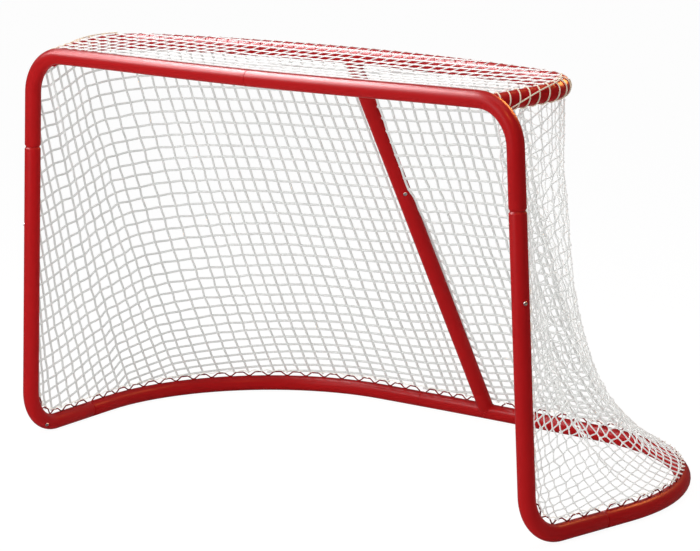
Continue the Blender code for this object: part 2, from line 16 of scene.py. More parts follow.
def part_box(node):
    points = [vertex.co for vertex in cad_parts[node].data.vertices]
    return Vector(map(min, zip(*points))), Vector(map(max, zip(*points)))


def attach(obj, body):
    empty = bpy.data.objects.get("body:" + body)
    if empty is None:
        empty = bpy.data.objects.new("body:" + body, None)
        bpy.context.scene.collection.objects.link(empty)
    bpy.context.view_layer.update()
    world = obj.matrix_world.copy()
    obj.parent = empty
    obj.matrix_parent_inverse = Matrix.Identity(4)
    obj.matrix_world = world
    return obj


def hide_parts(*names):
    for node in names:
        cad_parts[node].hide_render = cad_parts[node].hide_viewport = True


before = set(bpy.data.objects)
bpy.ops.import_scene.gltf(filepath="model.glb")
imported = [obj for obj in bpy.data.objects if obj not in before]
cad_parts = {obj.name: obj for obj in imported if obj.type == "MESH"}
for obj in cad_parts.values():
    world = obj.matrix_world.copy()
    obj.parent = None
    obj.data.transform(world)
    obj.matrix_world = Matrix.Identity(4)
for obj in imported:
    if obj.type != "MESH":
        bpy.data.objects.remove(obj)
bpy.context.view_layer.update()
print("nodes:", len(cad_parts))

# %% [markdown]
# These sizes drive everything, and they are the ones of the frame's own source: a two inch tube, a
# mouth of six by four feet, a base that flares and closes behind, and a shelf bar behind the
# crossbar. Where a size shows on a node's box, it is read from that box.

# %% Driving sizes
TUBE_R = 0.0254
MOUTH_WIDTH = 1.8288
MOUTH_HEIGHT = 1.2192
POST_SPREAD = 0.0585
BEND_R = 0.127
BASE_FLARE = math.radians(7.45)
BASE_SIDE_RUN = 0.4175
BASE_CORNER_R = 0.6195
BASE_CORNER_TURN = math.radians(95.75)
SHELF_START_X = 0.860
SHELF_FLARE = math.radians(15.1)
SHELF_SIDE_RUN = 0.176
SHELF_CORNER_R = 0.148
SHELF_CORNER_TURN = math.radians(94.4)
SHELF_REAR_Z = 1.268
CROSSBAR_SEAM_X = -0.028
POST_JOINT_Z = 0.950
BASE_JOINT_Y = 0.305
TEE_HALF = 0.270
STUB_LENGTH = 0.092

POST_TOP_X = MOUTH_WIDTH / 2 + TUBE_R
POST_FOOT_X = POST_TOP_X + POST_SPREAD
CROSSBAR_Z = MOUTH_HEIGHT + TUBE_R
FRONT_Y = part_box("upper_right_corner")[0][1] + TUBE_R
FLOOR_TUBE_Z = TUBE_R
print("goal line at y", round(FRONT_Y, 4), "base tube at z", round(FLOOR_TUBE_Z, 4))

# %% [markdown]
# Every tube follows a centre line. From above, base and shelf have the same kind of outline: a
# straight flare, a corner arc, and a wide bow that closes on the middle. Crossbar, post and foot are
# straight runs with an arc at each corner. A Line is read by distance along it, and joints, arches
# and strands are all placed that way.

# %% Outlines and centre lines
ARC_STEP = math.radians(4)
BOW_STEPS = 8
HEADING_REACH = 0.003
CLOSEST_POINTS = 0.002


def arc(centre, first, turn, steps, axis="Z"):
    """The points that follow first on an arc round centre."""
    return [centre + Matrix.Rotation(turn * i / steps, 3, axis) @ (first - centre)
            for i in range(1, steps + 1)]


def rear_outline(start_x, flare, run, corner_r, corner_turn):
    """Right half of a bar seen from above, from y = 0 round its corner to x = 0."""
    def to_left(heading):
        return Vector((-math.cos(heading), math.sin(heading), 0))

    start = Vector((start_x, 0, 0))
    corner = start + run * Vector((math.sin(flare), math.cos(flare), 0))
    steps = math.ceil(corner_turn / ARC_STEP)
    points = [start, corner] + arc(corner + corner_r * to_left(flare), corner, corner_turn, steps)
    heading = flare - corner_turn
    bow_r = points[-1].x / math.cos(heading)
    points += arc(points[-1] + bow_r * to_left(heading), points[-1], math.pi / 2 + heading, BOW_STEPS)
    points[-1].x = 0.0
    return points


def rounded(corners, radius):
    """A line of points through corners, with an arc at each inner corner."""
    points = [corners[0]]
    for before, corner, after in zip(corners, corners[1:], corners[2:]):
        back = (before - corner).normalized()
        ahead = (after - corner).normalized()
        half = back.angle(ahead) / 2
        centre = corner + (back + ahead).normalized() * radius / math.sin(half)
        first = corner + back * radius / math.tan(half)
        turn = math.pi - 2 * half
        points.append(first)
        points += arc(centre, first, turn, math.ceil(turn / ARC_STEP), ahead.cross(back).normalized())
    return points + [corners[-1]]


class Line:
    """A centre line that is read by distance along it."""

    def __init__(self, points):
        self.points = points
        self.marks = [0.0]
        for a, b in zip(points, points[1:]):
            self.marks.append(self.marks[-1] + (b - a).length)
        self.length = self.marks[-1]

    def at(self, distance):
        distance = min(max(distance, 0.0), self.length)
        i = max(1, bisect.bisect_left(self.marks, distance))
        share = (distance - self.marks[i - 1]) / (self.marks[i] - self.marks[i - 1])
        return self.points[i - 1].lerp(self.points[i], share)

    def heading(self, distance):
        return (self.at(distance + HEADING_REACH) - self.at(distance - HEADING_REACH)).normalized()

    def where(self, measure, value, after=0.0):
        """Distance at which measure(point) first passes value."""
        for i in range(1, len(self.points)):
            a = measure(self.points[i - 1])
            b = measure(self.points[i])
            if self.marks[i] > after and a != b and (a - value) * (b - value) <= 0:
                return self.marks[i - 1] + (value - a) / (b - a) * (self.marks[i] - self.marks[i - 1])
        raise ValueError("the line never reaches that value")

    def cut(self, start, end):
        """The points from start to end, without inner ones that lie too close to either."""
        inner = [point for point, mark in zip(self.points, self.marks)
                 if start + CLOSEST_POINTS < mark < end - CLOSEST_POINTS]
        return [self.at(start)] + inner + [self.at(end)]


def mirrored(points):
    return [Vector((-p.x, p.y, p.z)) for p in points]


def lift(plan_point, z):
    return Vector((plan_point.x, plan_point.y + FRONT_Y, z))


base_plan = rear_outline(POST_FOOT_X, BASE_FLARE, BASE_SIDE_RUN, BASE_CORNER_R, BASE_CORNER_TURN)
shelf_plan = rear_outline(SHELF_START_X, SHELF_FLARE, SHELF_SIDE_RUN, SHELF_CORNER_R, SHELF_CORNER_TURN)
BASE_DEPTH = base_plan[-1].y
SHELF_DEPTH = shelf_plan[-1].y

frame_corners = [Vector((0, FRONT_Y, CROSSBAR_Z)), Vector((POST_TOP_X, FRONT_Y, CROSSBAR_Z)),
                 Vector((POST_FOOT_X, FRONT_Y, FLOOR_TUBE_Z)), lift(base_plan[1], FLOOR_TUBE_Z)]
frame_line = Line(rounded(frame_corners, BEND_R) + [lift(p, FLOOR_TUBE_Z) for p in base_plan[2:]])
bend_inner = SHELF_START_X - (POST_TOP_X - BEND_R)
SHELF_FRONT_Z = CROSSBAR_Z - BEND_R + math.sqrt(BEND_R ** 2 - bend_inner ** 2)


def shelf_height(y):
    """The shelf bar climbs evenly from the top bend to its rear bar."""
    return SHELF_FRONT_Z + (SHELF_REAR_Z - SHELF_FRONT_Z) * y / SHELF_DEPTH


shelf_line = Line([lift(p, shelf_height(p.y)) for p in shelf_plan])
brace_line = Line([Vector((0, FRONT_Y + SHELF_DEPTH, SHELF_REAR_Z)),
                   Vector((0, FRONT_Y + BASE_DEPTH, FLOOR_TUBE_Z))])
foot_start = frame_line.where(lambda p: p.z, FLOOR_TUBE_Z + BEND_R)
foot_end = foot_start + BEND_R * math.pi / 2
along_post = frame_line.where(lambda p: p.z, POST_JOINT_Z)
along_side = frame_line.where(lambda p: p.y, FRONT_Y + BASE_JOINT_Y, foot_start)
along_rear = frame_line.length - TEE_HALF
print("half frame", round(frame_line.length, 3), "m, half shelf", round(shelf_line.length, 3), "m")

# %% [markdown]
# The camera stands low on the goal's right with a long lens, so the verticals stay almost upright.
# Its place and turn were fitted to the edges of the tubes. Blender's camera first looks straight
# down, so it is rolled by a hair, tipped up until it looks ahead, and turned round to the goal.

# %% Camera
IMAGE_WIDTH = 700
FOCAL_PIXELS = 2782.3
SENSOR_WIDTH = 36.0
CAMERA_PLACE = Vector((5.4248, FRONT_Y - 5.9920, 2.2364))
CAMERA_YAW = 0.7022
CAMERA_PITCH = 0.1937
CAMERA_ROLL = -0.0041


def show(name, data):
    """A new object in the scene."""
    thing = bpy.data.objects.new(name, data)
    bpy.context.scene.collection.objects.link(thing)
    return thing


camera = show("camera", bpy.data.cameras.new("camera"))
camera.data.sensor_width = SENSOR_WIDTH
camera.data.lens = FOCAL_PIXELS * SENSOR_WIDTH / IMAGE_WIDTH
tipped = Matrix.Rotation(math.pi / 2 - CAMERA_PITCH, 4, "X") @ Matrix.Rotation(CAMERA_ROLL, 4, "Z")
camera.matrix_world = Matrix.Translation(CAMERA_PLACE) @ Matrix.Rotation(CAMERA_YAW, 4, "Z") @ tipped
bpy.context.scene.camera = camera
print("lens", round(camera.data.lens, 1), "mm")

# %% [markdown]
# Node trees are easier to read as sums than as links. A Wire stands for an output socket, and its
# operators add Math nodes. A Recipe adds any node in one line, in materials, the world and Geometry
# Nodes alike.

# %% Operators for nodes


class Wire:
    """An output socket that can be used in sums: each operator adds a Math node to its tree."""

    def __init__(self, recipe, socket):
        self.recipe = recipe
        self.socket = socket

    def also(self, name):
        """Another output of the same node."""
        return Wire(self.recipe, self.socket.node.outputs[name])

    def sum(self, operation, first, second=0.0):
        return self.recipe.node("ShaderNodeMath", {"operation": operation}, {0: first, 1: second})

    def __add__(self, other):
        return self.sum("ADD", self, other)

    def __sub__(self, other):
        return self.sum("SUBTRACT", self, other)

    def __rsub__(self, other):
        return self.sum("SUBTRACT", other, self)

    def __mul__(self, other):
        return self.sum("MULTIPLY", self, other)

    def __truediv__(self, other):
        return self.sum("DIVIDE", self, other)

    def __gt__(self, other):
        return self.sum("GREATER_THAN", self, other)

    def __abs__(self):
        return self.sum("ABSOLUTE", self)

    def __floor__(self):
        return self.sum("FLOOR", self)


class Recipe:
    """Adds nodes to one tree."""

    def __init__(self, tree):
        self.tree = tree

    def node(self, kind, settings=None, sockets=None, out=0):
        """A node of that kind: its settings first, then the values or links of its sockets."""
        made = self.tree.nodes.new(kind)
        for name, value in (settings or {}).items():
            setattr(made, name, value)
        for name, value in (sockets or {}).items():
            if isinstance(value, Wire):
                self.tree.links.new(value.socket, made.inputs[name])
            else:
                made.inputs[name].default_value = value
        return Wire(self, made.outputs[out]) if len(made.outputs) else made

# %% [markdown]
# A paint or a fibre is one material with a recipe of its own. One function opens a material and sets
# what is the same all over on the shader itself. Another one lets the colour drift between two and
# adds a fine relief, both from cloudy noise on object coordinates.

# %% Opening a material


def open_material(name, **constants):
    """A new material's recipe and its Principled shader."""
    made = bpy.data.materials.new(name)
    made.use_nodes = True
    shader = made.node_tree.nodes["Principled BSDF"]
    for label, value in constants.items():
        shader.inputs[label.replace("_", " ").title().replace("Ior", "IOR")].default_value = value
    return made, Recipe(made.node_tree), shader


def feed(recipe, shader, **links):
    for label, wire in links.items():
        recipe.tree.links.new(wire.socket, shader.inputs[label.replace("_", " ").title()])


def speckle(recipe, scale, detail=3.0):
    """Cloudy noise from 0 to 1."""
    place = recipe.node("ShaderNodeTexCoord", out="Object")
    return recipe.node("ShaderNodeTexNoise", {}, {"Vector": place, "Scale": scale, "Detail": detail})


def mottled(name, colors, drift, grain=None, **constants):
    """A material between two colours; grain is its relief: scale, detail, strength and height."""
    made, recipe, shader = open_material(name, **constants)
    color = recipe.node("ShaderNodeMix", {"data_type": "RGBA"}, {
        0: speckle(recipe, drift), 6: colors[0], 7: colors[1]}, out=2)
    feed(recipe, shader, base_color=color)
    if grain:
        scale, detail, strength, height = grain
        feed(recipe, shader, normal=recipe.node("ShaderNodeBump", {}, {
            "Height": speckle(recipe, scale, detail), "Strength": strength, "Distance": height}))
    return made, recipe, shader, color

# %% [markdown]
# The goal stands on a plain floor in white light. The floor glows white for the camera, and a small
# share of it is matt, which leaves a soft shadow under the tubes. Gloss paint mirrors floor and room
# most at its edges. In the photograph the edges are dark, so both are dim for mirror rays. A broad
# lamp in front and one overhead light the goal. A round tube also mirrors a lamp as a line along it,
# so four more lamps draw such lines and light nothing else: two high on the left for the bright line
# and the pale band along the crossbar, and two warm ones for the bends.

# %% Floor, world and lamps
FLOOR_HALF = 30.0
SHADOW_SHARE = 0.10
FLOOR_GLOW = 1.06
AMBIENT = 0.30
MIRRORED = 0.12
WARM = (1.0, 0.40, 0.10)

world = bpy.data.worlds.new("white_room")
world.use_nodes = True
bpy.context.scene.world = world
sky = Recipe(world.node_tree)
background = world.node_tree.nodes["Background"]
ray = sky.node("ShaderNodeLightPath", out="Is Camera Ray")
strength = ray * (1.0 - AMBIENT) + AMBIENT - ray.also("Is Glossy Ray") * (AMBIENT - MIRRORED)
sky.tree.links.new(strength.socket, background.inputs["Strength"])
background.inputs["Color"].default_value = (1, 1, 1, 1)

floor_mesh = bpy.data.meshes.new("floor")
floor_corners = [(FLOOR_HALF * x, FLOOR_HALF * y, 0) for x, y in ((-1, -1), (1, -1), (1, 1), (-1, 1))]
floor_mesh.from_pydata(floor_corners, [], [(0, 1, 2, 3)])
floor = show("floor", floor_mesh)
floor_paint, studio, matt = open_material("white_floor", base_color=(0.9, 0.9, 0.9, 1), roughness=0.9)
watched = studio.node("ShaderNodeLightPath", out="Is Camera Ray")
glow = studio.node("ShaderNodeEmission", {}, {
    "Color": (1, 1, 1, 1), "Strength": watched * (FLOOR_GLOW - MIRRORED) + MIRRORED})
glowing = (watched + watched.also("Is Glossy Ray")) * (1.0 - SHADOW_SHARE)
cover = studio.node("ShaderNodeMixShader", {}, {0: glowing, 1: Wire(studio, matt.outputs[0]), 2: glow})
studio.tree.links.new(cover.socket, studio.tree.nodes["Material Output"].inputs["Surface"])
floor_mesh.materials.append(floor_paint)


def softbox(name, place, aim, width, height, glare, tint=(1, 1, 1), gloss_only=False):
    """A soft lamp at place that looks at aim; glare is how bright its face is beside white."""
    lamp = bpy.data.lights.new(name, "AREA")
    lamp.shape = "RECTANGLE"
    lamp.size = width
    lamp.size_y = height
    lamp.energy = math.pi * width * height * glare
    lamp.color = tint
    holder = show(name, lamp)
    holder.visible_diffuse = not gloss_only
    holder.visible_camera = False
    look = (Vector(aim) - Vector(place)).to_track_quat("-Z", "Y")
    holder.matrix_world = Matrix.Translation(Vector(place)) @ look.to_matrix().to_4x4()


CROSSBAR_MIDDLE = (0, -0.56, 1.25)
softbox("front", (-0.9, -5.0, 2.3), (0, 0, 0.7), 2.2, 2.2, 7.5)
softbox("overhead", (0.8, -0.6, 4.4), (0.4, -0.3, 0.8), 2.4, 2.4, 3.2)
softbox("high_left", (-2.4, -0.6, 3.97), CROSSBAR_MIDDLE, 2.4, 0.8, 84, gloss_only=True)
softbox("low_left", (-2.4, -2.1, 3.5), CROSSBAR_MIDDLE, 2.4, 2.6, 34, gloss_only=True)
softbox("warm", (2.2, -1.9, 3.4), (0.95, -0.56, 1.1), 0.4, 0.4, 190, WARM, gloss_only=True)
softbox("warm_rear", (0.7, 1.9, 2.4), (1.25, 0.45, 0.03), 1.2, 1.2, 50, WARM, gloss_only=True)
bpy.context.scene.view_settings.view_transform = "Standard"

# %% [markdown]
# The tubes and the bent rod are in gloss enamel. Fresh enamel isn't one flat red: it pools and
# thins a little, and close up it has a fine orange-peel relief. The paint reflects little when seen
# straight on, and what it reflects is a bit pink. The screws are plated steel, worn in spots.

# %% Paint and steel
RED = (0.430, 0.0066, 0.0090, 1.0)
RED_THIN = (0.490, 0.0105, 0.0112, 1.0)
ROD_RED = (0.100, 0.003, 0.006, 1.0)
STEEL_DULL = (0.42, 0.42, 0.43, 1.0)
STEEL_BRIGHT = (0.66, 0.66, 0.68, 1.0)
GLOSS_TINT = (1.0, 0.82, 0.86, 1.0)

red_paint, recipe, shader, color = mottled("red_enamel", (RED, RED_THIN), 3.0, (420.0, 1.0, 0.10, 0.0004),
                                           specular_ior_level=0.08, specular_tint=GLOSS_TINT)
feed(recipe, shader, roughness=speckle(recipe, 40.0) * 0.08 + 0.30)
rod_paint, recipe, shader, color = mottled("rod_enamel", (ROD_RED, RED), 30.0, (600.0, 1.0, 0.2, 0.0004),
                                           roughness=0.40, specular_ior_level=0.12,
                                           specular_tint=GLOSS_TINT)
screw_steel, recipe, shader, color = mottled("plated_steel", (STEEL_DULL, STEEL_BRIGHT), 900.0,
                                             metallic=1.0)
feed(recipe, shader, roughness=speckle(recipe, 900.0) * 0.25 + 0.2)
print("paints:", red_paint.name, rod_paint.name, screw_steel.name)

# %% [markdown]
# The net is white spun twine and the border cord is cream. Fibre is rough, with a fuzzy relief, and a
# little grey where it was handled. Thin nylon also lets light through, which rough paint can't do:
# its shaded side would turn dark against the white floor. A faint painted glow in the fibre's own
# colour stands for that light. The twine also comes in lit and shaded copies, so light and shade are
# painted into its colour: the right side and the top show their lit outside and get the whiter
# copies, and the back and the left side get the greyer one.

# %% Twine
TWINE_WHITE = (0.56, 0.57, 0.56, 1.0)
TWINE_SOILED = (0.48, 0.49, 0.48, 1.0)
TWINE_BRIGHT = (0.72, 0.73, 0.72, 1.0)
TWINE_LIT = (0.76, 0.76, 0.76, 1.0)
CORD_CREAM = (0.80, 0.66, 0.47, 1.0)
CORD_PALE = (0.86, 0.80, 0.68, 1.0)


def fibre(name, clean, soiled, painted_glow=0.48):
    """A twisted cord's material, with a painted glow in its own colour."""
    made, recipe, shader, color = mottled(name, (clean, soiled), 14.0, (900.0, 2.0, 0.6, 0.0006),
                                          roughness=0.85, specular_ior_level=0.2,
                                          emission_strength=painted_glow)
    feed(recipe, shader, emission_color=color)
    return made


# Lit and shaded copies of one twine: net_twine is the greyer copy, painted for shade; bright_twine and
# top_twine are the whiter copies, painted for light.
net_twine = fibre("net_twine", TWINE_WHITE, TWINE_SOILED)
bright_twine = fibre("bright_twine", TWINE_BRIGHT, TWINE_WHITE)
top_twine = fibre("top_twine", TWINE_LIT, TWINE_BRIGHT)
cream_cord = fibre("cream_cord", CORD_PALE, CORD_CREAM, 0.1)
pale_cord = fibre("pale_cord", TWINE_WHITE, CORD_PALE, 0.5)
print("materials:", len(bpy.data.materials))

# %% [markdown]
# A tube is a ring swept along its centre line. The joints need their own radius at each ring, which
# a bevelled curve doesn't give, so the rings are laid in mesh code. Each is turned with the line, so
# that the skin doesn't twist.

# %% Round skins
TUBE_SIDES = 48
SHARP_EDGE = math.radians(35)


def turns(count):
    """Angles once round a circle."""
    return [2 * math.pi * k / count for k in range(count)]


def bridge(shape, low, high):
    """Join two rings of vertices with quads."""
    for corners in zip(low, low[1:] + low[:1], high[1:] + high[:1], high):
        shape.faces.new(corners)


def skin(points, radii, sides, around=False):
    """A closed round skin along points with its own radius at each; around joins its two ends."""
    shape = bmesh.new()
    count = len(points)
    rings = []
    side = (points[1] - points[0]).orthogonal()
    for i, (point, radius) in enumerate(zip(points, radii)):
        before = points[i - 1] if i or around else point
        after = points[(i + 1) % count] if i < count - 1 or around else point
        heading = (after - before).normalized()
        side = (side - side.project(heading)).normalized()
        across = heading.cross(side)
        rings.append([shape.verts.new(point + radius * (math.cos(turn) * side + math.sin(turn) * across))
                      for turn in turns(sides)])
    for low, high in zip(rings, rings[1:]):
        bridge(shape, low, high)
    if around:
        offset = min(range(sides), key=lambda k: (rings[0][k].co - rings[-1][0].co).length)
        bridge(shape, rings[-1], rings[0][offset:] + rings[0][:offset])
    else:
        shape.faces.new(rings[0][::-1])
        shape.faces.new(rings[-1])
    return shape


def place_piece(name, shape, material, slot, *nodes):
    """Turn a bmesh into a piece of the goal that stands for its CAD nodes."""
    mesh = shape
    if isinstance(shape, bmesh.types.BMesh):
        mesh = bpy.data.meshes.new(name)
        shape.to_mesh(mesh)
        shape.free()
        mesh.materials.append(material)
        mesh.shade_smooth()
        mesh.set_sharp_from_angle(angle=SHARP_EDGE)
    piece = show(name, mesh)
    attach(piece, "root")
    if nodes:
        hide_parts(*nodes)

# %% [markdown]
# The posts come apart below the top bends. There the upper tube is rolled in, which leaves a
# shallow V groove round the joint. The joint behind each foot bend is pinched a little. The others
# are swaged to the tube's own size and show only as a fine line. Each list gives the distance back
# from the seam and how far the radius is down.

# %% Joint ends
ROLLED = ((0.0075, 0.0), (0.0060, 0.0004), (0.0044, 0.0014), (0.0028, 0.0025), (0.0014, 0.0033),
          (0.0002, 0.0037))
PINCHED = ((0.0052, 0.0), (0.0040, 0.0004), (0.0026, 0.0018), (0.0012, 0.0028), (0.0002, 0.0032))
SWAGED = ((0.0026, 0.0), (0.0014, 0.0001), (0.0006, 0.0004), (0.0002, 0.0012))
PLAIN = ((0.0, 0.0),)


def shaped_end(rings, shape):
    """Put a shaped end in place of the last of a tube's rings, which lies at the seam."""
    seam = rings[-1][0]
    back = (rings[-2][0] - seam).normalized()
    return rings[:-1] + [(seam + back * distance, TUBE_R - drop) for distance, drop in shape]


def add_tube(name, points, start=PLAIN, end=PLAIN):
    rings = shaped_end([(point, TUBE_R) for point in points], end)
    rings = shaped_end(rings[::-1], start)[::-1]
    shape = skin([ring[0] for ring in rings], [ring[1] for ring in rings], TUBE_SIDES)
    place_piece(name + "_tube", shape, red_paint, "red_paint", name)

# %% [markdown]
# Each line is made once for the right half and mirrored for the left. The crossbar's seam is a
# little left of the middle, and its two halves give a little under their own weight: beside a
# straight edge, the middle lies a few millimetres low.

# %% Frame tubes
SIDES = (("right", list), ("left", mirrored))
CROSSBAR_GIVE = 0.0065
CROSSBAR_STEPS = 24
corner_line = frame_line.cut(0.0, along_post)
straight_half = corner_line[1].x


def give(x):
    """How far the crossbar lies low at x."""
    return CROSSBAR_GIVE * max(1 - (x / straight_half) ** 2, 0.0) ** 2


for side, place in SIDES:
    reach = CROSSBAR_SEAM_X if side == "right" else -CROSSBAR_SEAM_X
    places = [reach + (straight_half - reach) * i / CROSSBAR_STEPS for i in range(CROSSBAR_STEPS)]
    crossbar_half = [Vector((x, FRONT_Y, CROSSBAR_Z - give(x))) for x in places] + corner_line[1:]
    add_tube("upper_%s_corner" % side, place(crossbar_half), SWAGED, ROLLED)
    add_tube("lower_%s_post" % side, place(frame_line.cut(along_post, along_side)), ROLLED, PINCHED)
    add_tube("base_%s_bend" % side, place(frame_line.cut(along_side, along_rear)), PINCHED, SWAGED)

rear_half = frame_line.cut(along_rear, frame_line.length)
add_tube("base_rear_bar", rear_half + mirrored(rear_half[-2::-1]), SWAGED, SWAGED)

along_shelf = shelf_line.length - TEE_HALF
for side, place in SIDES:
    add_tube("shelf_%s_bend" % side, place(shelf_line.cut(0.0, along_shelf)), PLAIN, SWAGED)
shelf_half = shelf_line.cut(along_shelf, shelf_line.length)
add_tube("shelf_rear_bar", shelf_half + mirrored(shelf_half[-2::-1]), SWAGED, SWAGED)

brace_end = brace_line.length
add_tube("shelf_brace_stub", brace_line.cut(0.0, STUB_LENGTH), PLAIN, SWAGED)
add_tube("centre_brace", brace_line.cut(STUB_LENGTH, brace_end - STUB_LENGTH), SWAGED, SWAGED)
add_tube("base_brace_stub", brace_line.cut(brace_end - STUB_LENGTH, brace_end), SWAGED, PLAIN)

# %% [markdown]
# A bead of weld runs round each place where a tube is welded to another, where the two round skins
# meet. For each angle round the joining tube, a line along its skin is followed until it is one
# radius away from the other tube's middle.

# %% Weld beads
BEAD_R = 0.0022
BEAD_STEPS = 72
BEAD_SIDES = 10
RIPPLE = 0.22
RIPPLE_SCALE = 220.0


def bead(middle, heading, across):
    """A closed line where a tube from middle along heading leaves the tube that runs along across."""
    side = heading.orthogonal().normalized()
    turned = heading.cross(side)
    step = heading - heading.project(across)
    points = []
    for angle in turns(BEAD_STEPS):
        offset = TUBE_R * (math.cos(angle) * side + math.sin(angle) * turned)
        gap = offset - offset.project(across)
        half_b = gap.dot(step)
        under = half_b ** 2 - step.length_squared * (gap.length_squared - TUBE_R ** 2)
        reach = (-half_b + math.sqrt(max(under, 0.0))) / step.length_squared
        points.append(middle + offset + heading * reach)
    return points


def add_bead(name, line):
    radii = [BEAD_R * (1.0 + RIPPLE * noise.noise(point * RIPPLE_SCALE)) for point in line]
    place_piece(name, skin(line, radii, BEAD_SIDES, around=True), red_paint, "red_paint")


brace_heading = brace_line.heading(brace_end / 2)
for name, end, heading in (("foot", brace_end, -brace_heading), ("head", 0.0, brace_heading)):
    add_bead("brace_%s_weld" % name, bead(brace_line.at(end), heading, Vector((1, 0, 0))))
bend_at = frame_line.where(lambda p: p.x, SHELF_START_X)
for side, place in SIDES:
    start, inside, across = place([shelf_line.at(0.0), shelf_line.at(0.05), frame_line.heading(bend_at)])
    add_bead("shelf_%s_weld" % side, bead(start, (inside - start).normalized(), across))

# %% [markdown]
# Geometry Nodes make what repeats. A tree takes a guide mesh, here a bare line of points, and its
# sizes are named inputs. The result is turned into a plain mesh at once, so no modifier is left.

# %% Geometry Nodes helpers


def open_tree(name, sizes):
    """A Geometry Nodes tree with an input for each size and a material: its recipe and its entry."""
    tree = bpy.data.node_groups.new(name, "GeometryNodeTree")
    for way in ("INPUT", "OUTPUT"):
        tree.interface.new_socket("Geometry", in_out=way, socket_type="NodeSocketGeometry")
    kinds = {int: "NodeSocketInt", float: "NodeSocketFloat"}
    for label, value in sizes.items():
        kind = kinds.get(type(value), "NodeSocketMaterial")
        tree.interface.new_socket(label, in_out="INPUT", socket_type=kind).default_value = value
    recipe = Recipe(tree)
    return recipe, recipe.node("NodeGroupInput", out="Geometry")


def stored(recipe, name):
    """A vector that the guide keeps at each point."""
    return recipe.node("GeometryNodeInputNamedAttribute", {"data_type": "FLOAT_VECTOR"}, {"Name": name})


def sweep(recipe, curve, sides, radius):
    """A round skin along a curve."""
    section = recipe.node("GeometryNodeCurvePrimitiveCircle", {}, {"Resolution": sides, "Radius": radius})
    return recipe.node("GeometryNodeCurveToMesh", {}, {
        "Curve": curve, "Profile Curve": section, "Fill Caps": True})


def close_tree(recipe, geometry):
    """End the tree: smooth, real geometry in its material."""
    smooth = recipe.node("GeometryNodeSetShadeSmooth", {}, {"Geometry": geometry})
    whole = recipe.node("GeometryNodeRealizeInstances", {}, {"Geometry": smooth})
    painted = recipe.node("GeometryNodeSetMaterial", {}, {
        "Geometry": whole, "Material": recipe.node("NodeGroupInput", out="Material")})
    recipe.node("NodeGroupOutput", {}, {0: painted})
    print(recipe.tree.name, "has", len(recipe.tree.nodes), "nodes")


def cook(guide_mesh, recipe, sizes):
    """Run a tree on a guide mesh and return the plain mesh that it makes."""
    guide = show("guide", guide_mesh)
    step = guide.modifiers.new("recipe", "NODES")
    step.node_group = recipe.tree
    for item in recipe.tree.interface.items_tree:
        if item.in_out == "INPUT" and item.name in sizes:
            step[item.identifier] = sizes[item.name]
    bpy.context.view_layer.update()
    mesh = bpy.data.meshes.new_from_object(guide.evaluated_get(bpy.context.evaluated_depsgraph_get()))
    guide.modifiers.remove(step)
    bpy.data.objects.remove(guide, do_unlink=True)
    return mesh


def guide_lines(chains, **vectors):
    """A mesh of bare lines, one for each chain of points, with a vector stored at every point."""
    mesh = bpy.data.meshes.new("guide")
    edges = []
    first = 0
    for chain in chains:
        edges += [(first + i, first + i + 1) for i in range(len(chain) - 1)]
        first += len(chain)
    mesh.from_pydata([point for chain in chains for point in chain], edges, [])
    for label, values in vectors.items():
        store = mesh.attributes.new(label, "FLOAT_VECTOR", "POINT")
        store.data.foreach_set("vector", [number for value in values for number in value])
    return mesh

# %% [markdown]
# The lacing rail is a thin rod bent into flat-topped arches and welded to the tube at its feet. The
# net's edge is tied to it. The guide is the tube's own line, and each of its points knows which side
# of the tube carries the rail. The tree lays four points for each arch at their share of the pitch,
# lifts the middle two, rounds the bends, and sweeps the rod along them.

# %% Rail recipe
ROD_R = 0.0022
ROD_SIDES = 10
ARCH_PITCH = 0.066
ARCH_HEIGHT = 0.0120
ARCH_FOOT = 0.12
ARCH_SLOPE = 0.25
ARCH_BEND_R = 0.007
ARCH_LOW = TUBE_R + ROD_R * 0.6

rail_recipe, guide = open_tree("lacing_rail", {
    "Arches": 8, "Low": ARCH_LOW, "Height": ARCH_HEIGHT, "Foot": ARCH_FOOT / 2, "Slope": ARCH_SLOPE,
    "Rod": ROD_R, "Bend": ARCH_BEND_R, "Material": rod_paint})
curve = rail_recipe.node("GeometryNodeMeshToCurve", {}, {"Mesh": guide})
arches = guide.also("Arches")
number = rail_recipe.node("GeometryNodeInputIndex")
arch = math.floor(number / 4)
corner = number - arch * 4
raised = 1 - (abs(corner - 1.5) > 1)
climb = guide.also("Foot") + raised * guide.also("Slope")
share = climb + (corner > 1.5) * (1 - climb * 2)
pitch = rail_recipe.node("GeometryNodeCurveLength", {}, {"Curve": curve}) / arches
sampled = rail_recipe.node("GeometryNodeSampleCurve", {"mode": "LENGTH", "data_type": "FLOAT_VECTOR"}, {
    "Curves": curve, "Value": stored(rail_recipe, "side"), "Length": (arch + share) * pitch}, out="Value")
lifted = rail_recipe.node("ShaderNodeVectorMath", {"operation": "SCALE"}, {
    0: sampled, "Scale": guide.also("Low") + raised * guide.also("Height")})
landed = rail_recipe.node("ShaderNodeVectorMath", {"operation": "ADD"}, {
    0: sampled.also("Position"), 1: lifted})
corners = rail_recipe.node("GeometryNodeMeshLine", {}, {"Count": arches * 4})
wave = rail_recipe.node("GeometryNodeMeshToCurve", {}, {
    "Mesh": rail_recipe.node("GeometryNodeSetPosition", {}, {"Geometry": corners, "Position": landed})})
eased = rail_recipe.node("GeometryNodeFilletCurve", {"mode": "POLY"}, {
    "Curve": wave, "Radius": guide.also("Bend"), "Limit Radius": True, "Count": 4})
close_tree(rail_recipe, sweep(rail_recipe, eased, ROD_SIDES, guide.also("Rod")))

# %% [markdown]
# A rail lies inside the foot bend, where the net meets it, and turns over to the top of the tube on
# the way back. Each tube carries its own length of it, so the rail stops short of every joint.

